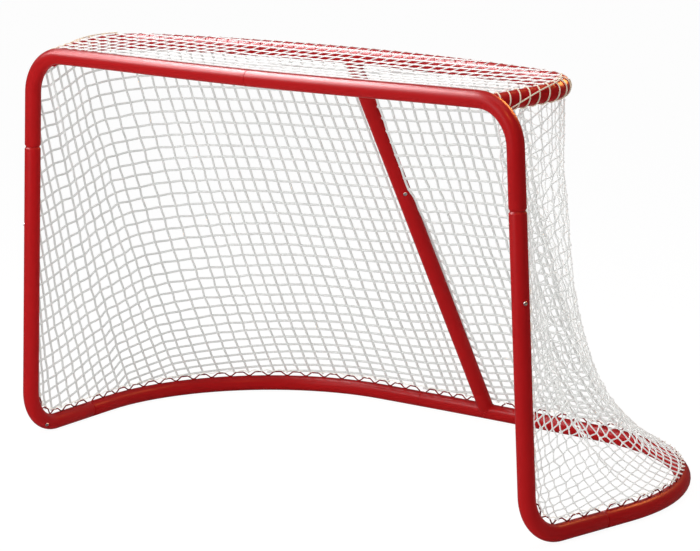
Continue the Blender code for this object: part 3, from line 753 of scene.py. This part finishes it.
# %% Rails
RAIL_MARGIN = 0.010
RAIL_STEP = 0.010
RAIL_BEND_START = math.radians(12)
BRACE_MARGIN = {"right": 0.055, "left": 0.029}
post_direction = (frame_corners[2] - frame_corners[1]).normalized()
bend_plane = post_direction.cross((frame_corners[3] - frame_corners[2]).normalized()).normalized()


def rail_side(distance):
    """The side of the frame tube that carries the rail: inside the foot bend, then on top."""
    inside = bend_plane.cross(frame_line.heading(distance)).normalized()
    share = (distance - foot_end) / (along_side - foot_end)
    return inside.lerp(Vector((0, 0, 1)), min(max(share, 0.0), 1.0)).normalized()


hem_start = foot_start + BEND_R * RAIL_BEND_START
for side, place in SIDES:
    for tube, start, end in (("lower", hem_start, along_side - RAIL_MARGIN),
                             ("base", along_side + RAIL_MARGIN, along_rear - RAIL_MARGIN),
                             ("rear", along_rear + RAIL_MARGIN, frame_line.length - BRACE_MARGIN[side])):
        node = "%s_%s_rail" % (tube, side)
        steps = math.ceil((end - start) / RAIL_STEP)
        marks = [start + (end - start) * i / steps for i in range(steps + 1)]
        guide = guide_lines([place([frame_line.at(mark) for mark in marks])],
                            side=place([rail_side(mark) for mark in marks]))
        mesh = cook(guide, rail_recipe, {"Arches": max(1, round((end - start) / ARCH_PITCH))})
        place_piece(node + "_rod", mesh, rod_paint, "rod_paint", node)
        print(node, round(end - start, 3), "m,", len(mesh.polygons), "faces")

# %% [markdown]
# Three kinds of screw hold the frame: one in each post, one in each foot bend and one in the brace.
# A pan head is a turned shape, so its half outline is spun round from the middle of the head down
# into the tube. The recess is a shallow cone, and its four slots are points of one ring that are
# pulled outwards and down.

# %% Screws
SCREW_OUTLINE = ((0.0008, 0.0014), (0.0022, 0.0029), (0.0030, 0.0031), (0.0044, 0.0030),
                 (0.0055, 0.0024), (0.0061, 0.0014), (0.0062, 0.0002), (0.0062, -0.0020))
SCREW_STEPS = 24
SLOT_RING = 1
SLOT_EVERY = 6
SLOT_PULL = 1.7
SLOT_DEPTH = 0.0006
POST_SCREW_Z = 0.697
POST_SCREW_FACES = math.radians(68)
FOOT_SCREW_BEND = math.radians(60)
FOOT_SCREW_FACES = math.radians(-45)
BRACE_SCREW_SHARE = 0.36
BRACE_SCREW_FACES = math.radians(50)


def add_screw(name, line, distance, angle, place=list):
    """A pan head square on a tube, turned by angle from the goal's front towards its right."""
    shape = bmesh.new()
    rings = []
    for number, (radius, height) in enumerate(SCREW_OUTLINE):
        ring = []
        for k, turn in enumerate(turns(SCREW_STEPS)):
            slot = number == SLOT_RING and k % SLOT_EVERY == 0
            reach = radius * SLOT_PULL if slot else radius
            ring.append(shape.verts.new((reach * math.cos(turn), reach * math.sin(turn),
                                         height - SLOT_DEPTH * slot)))
        rings.append(ring)
    for upper, lower in zip(rings, rings[1:]):
        bridge(shape, lower, upper)
    shape.faces.new(rings[0])
    shape.faces.new(rings[-1][::-1])
    level = Vector((math.sin(angle), -math.cos(angle), 0))
    centre, outward = place([line.at(distance), level - level.project(line.heading(distance))])
    outward.normalize()
    shape.transform(Matrix.Translation(centre + outward * TUBE_R)
                    @ outward.to_track_quat("Z", "Y").to_matrix().to_4x4())
    bmesh.ops.recalc_face_normals(shape, faces=shape.faces)
    place_piece(name + "_head", shape, screw_steel, "screw_steel", name)


post_screw_at = frame_line.where(lambda p: p.z, POST_SCREW_Z)
foot_screw_at = foot_start + BEND_R * FOOT_SCREW_BEND
for side, place in SIDES:
    add_screw("post_%s_screw" % side, frame_line, post_screw_at, POST_SCREW_FACES, place)
    add_screw("foot_%s_screw" % side, frame_line, foot_screw_at, FOOT_SCREW_FACES, place)
add_screw("brace_screw", brace_line, brace_end * BRACE_SCREW_SHARE, BRACE_SCREW_FACES)

# %% [markdown]
# The net is one sheet of square mesh with knots a little over 40 mm apart, laced to the shelf bar
# above, to the posts in front and to the rail at the floor. A column of the mesh is a nearly straight
# line from a place on the shelf, or on a post, to a place on the rail. The lists say where: distances
# along the shelf from its middle, and the distance along the base at which that column lands. Both
# sides differ a little, because a net is hung by hand.

# %% The net's edges
TWINE_R = 0.0042
COLUMN_STEP = 0.0428
BEND_COLUMN_STEP = 0.072
POST_COLUMN_STEP = 0.104
POST_HEM_STEP = 0.0515
HANG = TUBE_R + TWINE_R
ARCH_TOP = ARCH_LOW + ARCH_HEIGHT + ROD_R + TWINE_R
HEM_DROP = 0.009
EDGE_MARGIN = 0.012
LANDING = {"left": ((0.0, 0.055), (0.12, 0.157), (0.25, 0.297), (0.356, 0.440), (0.458, 0.567),
                    (0.565, 0.690), (0.68, 0.800), (0.785, 0.905), (0.88, 1.012), (0.96, 1.115),
                    (1.08, 1.240), (1.20, 1.385)),
           "right": ((0.0, -0.055), (0.19, 0.135), (0.315, 0.280), (0.448, 0.430), (0.68, 0.730),
                     (0.88, 1.000), (1.08, 1.230), (1.20, 1.385))}
SHELF_COLUMNS = math.floor((shelf_line.length - EDGE_MARGIN) / COLUMN_STEP)
SHELF_REACH = SHELF_COLUMNS * COLUMN_STEP
WIDE_COLUMNS = 13
WIDER = 1.13
TOP_PLACE = {"left": ((0, 0.0), (SHELF_COLUMNS, SHELF_REACH)),
             "right": ((0, 0.0), (WIDE_COLUMNS, WIDE_COLUMNS * COLUMN_STEP * WIDER),
                       (SHELF_COLUMNS, SHELF_REACH))}
HANGS_OUT = {"left": 0.6, "right": 0.25}
HANGS_DOWN = 0.9
BEND_COLUMNS = 1
POST_COLUMNS = 9
COLUMNS = SHELF_COLUMNS + BEND_COLUMNS + POST_COLUMNS


def read_list(stops, value):
    """Straight interpolation in a list of pairs."""
    for (a, first), (b, last) in zip(stops, stops[1:]):
        if value <= b:
            return first + (last - first) * (value - a) / (b - a)
    return stops[-1][1]


def outward_of(line, distance):
    """Level direction square to a line, away from the inside of the goal."""
    heading = line.heading(distance)
    return Vector((heading.y, -heading.x, 0)).normalized()


def column_top(k, side):
    """Where column k starts, under the shelf bar or behind the post, as if that side were the right."""
    if k <= SHELF_COLUMNS:
        distance = shelf_line.length - read_list(TOP_PLACE[side], k)
        out = outward_of(shelf_line, distance) * HANGS_OUT[side] - Vector((0, 0, HANGS_DOWN))
        return shelf_line.at(distance) + out.normalized() * HANG
    on_bend = min(k - SHELF_COLUMNS, BEND_COLUMNS)
    on_post = k - SHELF_COLUMNS - on_bend
    along = bend_at + on_bend * BEND_COLUMN_STEP + on_post * POST_COLUMN_STEP
    return frame_line.at(along) + Vector((0, HANG, 0))


def base_point(distance):
    """A point close behind the arches, for a signed distance along the base from its middle."""
    along = frame_line.length - abs(distance)
    side = rail_side(along)
    outside = frame_line.heading(along).cross(side)
    point = frame_line.at(along) + side * (ARCH_TOP - HEM_DROP) + outside * (ROD_R + TWINE_R)
    return point if distance >= 0 else mirrored([point])[0]


def column_foot(k, side):
    """Where column k of that side ends, behind the arches, as if that side were the right."""
    landing = LANDING[side]
    if k <= SHELF_COLUMNS:
        distance = read_list(landing, read_list(TOP_PLACE[side], k))
    else:
        distance = read_list(landing, SHELF_REACH) + (k - SHELF_COLUMNS) * POST_HEM_STEP
    return base_point(min(distance, frame_line.length - hem_start))


tops = {side: [column_top(k, side) for k in range(COLUMNS + 1)] for side in ("left", "right")}
feet = {side: [column_foot(k, side) for k in range(COLUMNS + 1)] for side in ("left", "right")}
print("columns a side:", COLUMNS, "of which on the shelf:", SHELF_COLUMNS)

# %% [markdown]
# A row is one strand that meets every column. On the back and the left side the photograph shows
# how many rows lie on a column and which of them passes its head, so those are two short lists.
# The rows keep an even pitch from the top and crowd together only near the floor.
# Further round, a row that meets column k at share t of its way down meets the next column where
# a square step across lands, and the SKEW lists say how far the meshes are pulled out of square.
# Shares below 0 or above 1 are outside the sheet, and the row's strand is cut where it
# crosses the edge.

# %% Rows
LISTED = {"left": SHELF_COLUMNS, "right": 12}
HEAD_ROW = {"left": ((0, 0.0), (16, -0.4), (24, -1.0), (28, -1.8)),
            "right": ((0, 0.0), (4, 0.3), (12, 1.0))}
ROW_COUNT = {"left": ((0, 33.4), (4, 32.8), (24, 31.8), (28, 31.2)),
             "right": ((0, 33.4), (4, 34.4), (12, 36.0))}
SKEW_AT_TOP = {"left": ((28, 0.018), (29, -0.003), (COLUMNS, -0.003)),
               "right": ((12, 0.001), (14, 0.006), (COLUMNS, 0.006))}
SKEW_AT_FLOOR = {"left": ((28, 0.012), (29, 0.0), (COLUMNS, 0.0)),
                 "right": ((12, -0.0075), (14, -0.010), (COLUMNS, -0.010))}
CROWDING = 0.115
ROWS_ABOVE = 24
ROWS_BELOW = 42


def row_shares(number, side):
    """The share of the way down each column at which a row passes, from the middle outwards."""
    shares = [(number - read_list(HEAD_ROW[side], k)) / read_list(ROW_COUNT[side], k)
              for k in range(LISTED[side] + 1)]
    shares = [share * (1 + CROWDING) - CROWDING * max(share, 0.0) ** 4 for share in shares]
    for k in range(LISTED[side], COLUMNS):
        point = tops[side][k].lerp(feet[side][k], shares[-1])
        run = feet[side][k + 1] - tops[side][k + 1]
        square = (point - tops[side][k + 1]).dot(run) / run.length_squared
        at_top = read_list(SKEW_AT_TOP[side], k)
        shares.append(square + at_top + (read_list(SKEW_AT_FLOOR[side], k) - at_top) * max(square, 0.0))
    return shares


rows = {side: [row_shares(number + 0.6, side) for number in range(-ROWS_ABOVE, ROWS_BELOW)]
        for side in ("left", "right")}
print("rows:", len(rows["left"]))

# %% [markdown]
# The left side hangs nearly straight. The right side hangs slack: it falls steeply from the shelf,
# sweeps out, and folds over just above the base, because it is longer than the straight way. Smooth
# noise moves the knots a few millimetres, and more on the loose side. Its seed is fixed, so the net
# hangs the same way each time. Where twine isn't pulled tight, every second knot is drawn aside,
# which rounds the meshes.

# %% How the net hangs
SLACK = {"left": ((0.0, 0.0), (12.0, 0.05), (24.0, 0.15), (COLUMNS, 0.10)),
         "right": ((0.0, 0.0), (5.0, 0.12), (12.0, 0.45), (19.0, 1.0), (25.0, 0.9), (COLUMNS, 0.35))}
FOLD = 0.15
LOOSE = {"left": 0.0035, "right": 0.008}
ZIGZAG = {"left": 0.0016, "right": 0.0052}
FIRST_DRAWN = 12
DIP = 0.22
SWAY_SCALE = 5.0
RUFFLE_SCALE = 37.0
BRACE_CLEARANCE = 0.0004
HANG_SEED = 5
noise.seed_set(HANG_SEED)


def clear_of_brace(point):
    """Keep the twine behind the brace."""
    start = brace_line.points[0]
    offset = (point - start) - (point - start).project(brace_heading)
    limit = TUBE_R + TWINE_R + BRACE_CLEARANCE
    if offset.length >= limit:
        return point
    normal = Vector((0, -brace_heading.z, brace_heading.y))
    needed = math.sqrt(max(limit ** 2 - offset.x ** 2, 0.0))
    return point + normal * (needed - offset.dot(normal))


def hang(k, share, side, aside=0):
    """A point of the hanging net: k may lie between two columns, and aside is 1 or -1 at a knot."""
    low = min(int(k), COLUMNS - 1)
    top = tops[side][low].lerp(tops[side][low + 1], k - low)
    foot = feet[side][low].lerp(feet[side][low + 1], k - low)
    slack = read_list(SLACK[side], k)
    loose_fall = (1 - FOLD) * share ** 3 + FOLD * share ** 12
    point = top.lerp(foot, (1 - slack) * share + slack * loose_fall)
    point.z = top.z + (foot.z - top.z) * (share + DIP * slack * share ** 3 * (1 - share))
    calm = min(1.0, 5 * share, 5 * (1 - share))
    loose = LOOSE[side] * calm * min(1.0, 0.25 + k / 16)
    drawn = ZIGZAG[side] * calm * min(max((k - FIRST_DRAWN) / 6, 0.15), 1.0)
    across = (tops[side][low + 1] - tops[side][low]).lerp(feet[side][low + 1] - feet[side][low], share)
    point += (across.normalized() + Vector((0, 0, 0.7))) * aside * drawn
    if side == "left":
        point.x = -point.x
    sway = noise.noise_vector(point * SWAY_SCALE) + noise.noise_vector(point * RUFFLE_SCALE) * 0.5
    return clear_of_brace(point + sway * loose)


def aside_of(row_number, k):
    return 1 if (row_number + k) % 2 else -1


def column_strand(k, side):
    knots = [(row[k], aside_of(j, k)) for j, row in enumerate(rows[side]) if 0.01 < row[k] < 0.99]
    return [hang(k, share, side, aside) for share, aside in [(0.0, 0)] + sorted(knots) + [(1.0, 0)]]


def row_strands(row_number, first, last, side):
    """The parts of a row between two columns that lie inside the sheet."""
    row = rows[side][row_number]
    strands = []
    strand = []
    for k in range(first, last + 1):
        inside = 0.0 <= row[k] <= 1.0
        if inside:
            strand.append(hang(k, row[k], side, aside_of(row_number, k)))
        if k < last and inside != (0.0 <= row[k + 1] <= 1.0):
            edge = 0.0 if min(row[k], row[k + 1]) < 0.0 else 1.0
            cross = (edge - row[k]) / (row[k + 1] - row[k])
            strand.append(hang(k + cross, edge, side))
            if inside:
                strands.append(strand)
                strand = []
    return [s for s in strands + [strand] if len(s) > 1]


slackest = max(range(COLUMNS), key=lambda k: read_list(SLACK["right"], k))
print("slackest column on the right:", slackest, "halfway down at", hang(slackest, 0.5, "right"))

# %% [markdown]
# The strands are twine. The guide is a set of bare lines, and the tree sweeps a round section along
# a smooth curve through each. Where a point is marked as a knot, a small ball of twine is put on it,
# a little different in size each time. It has only 20 faces, because there are thousands of them.

# %% Twine recipe
KNOT_R = 0.0050
TWINE_SIDES = 5


recipe, guide = open_tree("knotted_twine", {
    "Radius": TWINE_R, "Knot": KNOT_R, "Curves": 3, "Seed": 7, "Material": net_twine})
curves = recipe.node("GeometryNodeCurveSplineType", {"spline_type": "CATMULL_ROM"}, {
    "Curve": recipe.node("GeometryNodeMeshToCurve", {}, {"Mesh": guide})})
fine = recipe.node("GeometryNodeSetSplineResolution", {}, {
    "Geometry": curves, "Resolution": guide.also("Curves")})
length = recipe.node("ShaderNodeVectorMath", {"operation": "LENGTH"}, {0: stored(recipe, "knot")},
                     out="Value")
ball = recipe.node("GeometryNodeMeshIcoSphere", {}, {"Radius": guide.also("Knot"), "Subdivisions": 1})
size = recipe.node("FunctionNodeRandomValue", {"data_type": "FLOAT"}, {
    2: 0.8, 3: 1.2, "Seed": guide.also("Seed")}, out=1)
balls = recipe.node("GeometryNodeInstanceOnPoints", {}, {
    "Points": guide, "Selection": length > 0.5, "Instance": ball, "Scale": size})
joined = recipe.node("GeometryNodeJoinGeometry", {}, {
    0: sweep(recipe, fine, TWINE_SIDES, guide.also("Radius"))})
recipe.tree.links.new(balls.socket, joined.socket.node.inputs[0])
close_tree(recipe, joined)
twine_recipe = recipe


def add_strands(name, strands, material, slot, nodes, **sizes):
    """A piece made of strands. Each is its points and how many of them, after the first, are knots."""
    knots = [(float(0 < i <= count), 0, 0) for points, count in strands for i in range(len(points))]
    mesh = cook(guide_lines([points for points, count in strands], knot=knots), twine_recipe,
                {"Material": material, **sizes})
    mesh.calc_loop_triangles()
    place_piece(name, mesh, None, slot, *nodes)
    print(name, len(strands), "strands,", len(mesh.loop_triangles), "triangles")

# %% [markdown]
# The sheet is shown in three pieces, the back and the two sides. Each takes its own columns and the
# rows that cross them, and a side takes one mesh more, so that no gap is left where two meet. The
# twine of the right side is thinner, as it looks in the photograph.

# %% Net pieces
BACK_COLUMNS = 14
SIDE_TWINE_R = {"right": 0.0021, "left": 0.0038}


def net_piece(name, strips, nodes, radius=TWINE_R, material=net_twine):
    """A piece of net from strips of (first column, last column, side)."""
    strands = []
    for first, last, side in strips:
        for k in range(first, last + 1):
            if k > 0 or side == "right":
                points = column_strand(k, side)
                strands.append((points, len(points) - 2))
        end = min(last + 1, COLUMNS)
        for row_number in range(len(rows[side])):
            strands += [(points, 0) for points in row_strands(row_number, first, end, side)]
    add_strands(name, strands, material, "net_white", nodes, Radius=radius)


net_piece("net_back_twine", [(0, BACK_COLUMNS, "right"), (0, BACK_COLUMNS, "left")], ["net_back"])
# The right side gets the whiter twine, painted for the light on its outside; the left keeps the greyer,
# shaded copy.
for side in ("right", "left"):
    net_piece("net_%s_twine" % side, [(BACK_COLUMNS + 1, COLUMNS, side)],
              ["net_%s_%s" % (side, part) for part in ("side", "corner_front", "corner_rear")],
              SIDE_TWINE_R[side], bright_twine if side == "right" else net_twine)

# %% [markdown]
# The same sheet closes the top. Its strands run straight back and straight across, sag a little
# between the bars, and end over the shelf bar: the ones that run back pass over it and meet the
# columns of the back. From outside, the bar's red shows through the mesh.

# %% The top net
TOP_TWINE_R = 0.0019
TOP_KNOT_R = 0.0028
TOP_SAG = 0.012
TOP_RUFFLE_SCALE = 6.0
TOP_RUFFLE = 0.006
TOP_ZIGZAG = 0.0012
LEVEL_OUT = math.radians(-53)
STEEP_OUT = math.radians(75)
UPRIGHT = math.radians(90)
OVER_STEPS = 6
LIE = TUBE_R + TOP_TWINE_R
shelf_from_rear = Line(shelf_line.points[::-1])


def round_bar(distance, angle, radius):
    """A point on the shelf bar's skin, angle up from level outwards."""
    return (shelf_line.at(distance) + outward_of(shelf_line, distance) * math.cos(angle) * radius
            + Vector((0, 0, 1)) * math.sin(angle) * radius)


top_front = FRONT_Y + math.sqrt(LIE ** 2 - (SHELF_FRONT_Z + LIE - CROSSBAR_Z) ** 2)
top_rear = shelf_line.points[-1].y


def top_point(x, y, aside=0):
    """A point of the top net."""
    back = min(max((y - top_front) / (top_rear - top_front), 0.0), 1.0)
    middle = max(0.0, 1 - (x / POST_TOP_X) ** 2) * math.sin(math.pi * back)
    low = TOP_SAG * middle + give(x) * (1 - back)
    point = Vector((x, y, shelf_height(y - FRONT_Y) + LIE - low))
    drawn = Vector((1, 0.6, 0)) * aside * TOP_ZIGZAG
    return point + (noise.noise_vector(point * TOP_RUFFLE_SCALE) * TOP_RUFFLE + drawn) * middle


row_places = [top_front + (i + 0.7) * COLUMN_STEP for i in range(int((top_rear - top_front) / COLUMN_STEP))]
half_width = max(point.x for point in shelf_line.points)
cross_count = int(half_width / COLUMN_STEP)
strands = []
for i in range(-cross_count, cross_count + 1):
    x = i * COLUMN_STEP
    first = top_front
    if abs(x) >= SHELF_START_X:
        first = shelf_line.at(shelf_line.where(lambda p: p.x, abs(x))).y
    at_bar = shelf_line.length - shelf_from_rear.where(lambda p: p.x, abs(x))
    meets = shelf_line.at(at_bar).y - EDGE_MARGIN
    inner = [top_point(x, y, aside_of(j, i)) for j, y in enumerate(row_places) if first < y < meets]
    last = LEVEL_OUT if outward_of(shelf_line, at_bar).y > 0.55 else STEEP_OUT
    over = [round_bar(at_bar, UPRIGHT + (last - UPRIGHT) * n / OVER_STEPS, TUBE_R + 0.001)
            for n in range(OVER_STEPS + 1)]
    strands.append(([top_point(x, first)] + inner + (mirrored(over) if x < 0 else over), len(inner)))
for j, y in enumerate(row_places):
    reach = shelf_line.at(shelf_line.where(lambda p: p.y, y)).x
    inner = [top_point(i * COLUMN_STEP, y, aside_of(j, i)) for i in range(-cross_count, cross_count + 1)
             if abs(i) * COLUMN_STEP < reach - EDGE_MARGIN]
    strands.append(([top_point(-reach, y)] + inner + [top_point(reach, y)], 0))
# The top's twine is the whitest copy, painted for the light from above.
add_strands("net_top_twine", strands, top_twine, "net_white", ["net_top"], Radius=TOP_TWINE_R,
            Knot=TOP_KNOT_R)

# %% [markdown]
# Cords tie the net to the frame. A cream cord winds round the bar on each side of the shelf and
# takes in every mesh, and a border cord lies along the bar. A thinner one runs down behind each
# post, and another winds along the arches of the rail at the floor.

# %% Lacing
LACING_R = 0.0021
HEM_LACING_R = 0.0014
HEM_WIND = {"right": 0.0040, "left": 0.0026}
HEM_STEPS = 8
HEM_STOP = 0.036
POST_WIND = 0.003
POST_PITCH = 0.05
POST_CORD_TOP_Z = 1.08
LOOP_STEP = {"left": COLUMN_STEP, "right": 0.034}
LOOP_LIE = TUBE_R + 0.0024
BORDER_LIE = TUBE_R + 0.0062
BORDER_STEPS = 40
BORDER_CLIMB = (0.03, 0.29)


def winding(start, end, pitch, around, steps=10):
    """Points that wind from start to end: around(distance, angle) says where an angle lies."""
    count = round((end - start) / pitch * steps)
    return [around(start + (end - start) * i / count, 2 * math.pi * i / steps) for i in range(count + 1)]


def border_angle(distance):
    """The border cord climbs from under the bar's outer side to its top."""
    start, end = BORDER_CLIMB
    climb = min(max((distance - start) / (end - start), 0.0), 1.0)
    return math.radians(-65 + 155 * climb ** 0.6)


def round_hem(distance, angle, wind):
    side = rail_side(distance)
    out = side.cross(frame_line.heading(distance))
    return (frame_line.at(distance) + side * (ARCH_TOP - wind)
            + (side * math.sin(angle) + out * math.cos(angle)) * wind)


def behind_post(distance, angle):
    back = Vector((0.35, 0.94, 0)) * (TUBE_R + POST_WIND + LACING_R)
    return (frame_line.at(distance) + back
            + Vector((math.cos(angle), math.sin(angle), 0)) * POST_WIND)


corner_end = shelf_line.where(lambda p: -p.x, -POST_TOP_X * 0.93, shelf_line.marks[2])
post_start = frame_line.where(lambda p: p.z, POST_CORD_TOP_Z)
for side, place in SIDES:
    loops = winding(EDGE_MARGIN, corner_end, LOOP_STEP[side],
                    lambda distance, angle: round_bar(distance, angle, LOOP_LIE))
    border = [round_bar(distance, border_angle(distance), BORDER_LIE)
              for distance in (corner_end * i / BORDER_STEPS for i in range(BORDER_STEPS + 1))]
    post_cord = winding(post_start, foot_start, POST_PITCH, behind_post)
    hem_cord = winding(hem_start, frame_line.length - HEM_STOP, COLUMN_STEP,
                       lambda distance, angle: round_hem(distance, angle, HEM_WIND[side]), HEM_STEPS)
    add_strands("shelf_%s_lacing" % side, [(place(loops), 0), (place(border), 0)], cream_cord,
                "cord_cream", [], Radius=LACING_R)
    for name, cord in (("post_%s_cord" % side, post_cord), ("hem_%s_cord" % side, hem_cord)):
        add_strands(name + "_twist", [(place(cord), 0)], pale_cord, "cord_cream", [name],
                    Radius=HEM_LACING_R)
    print(side, "cords:", [round(Line(chain).length, 2) for chain in (loops, border, post_cord, hem_cord)])
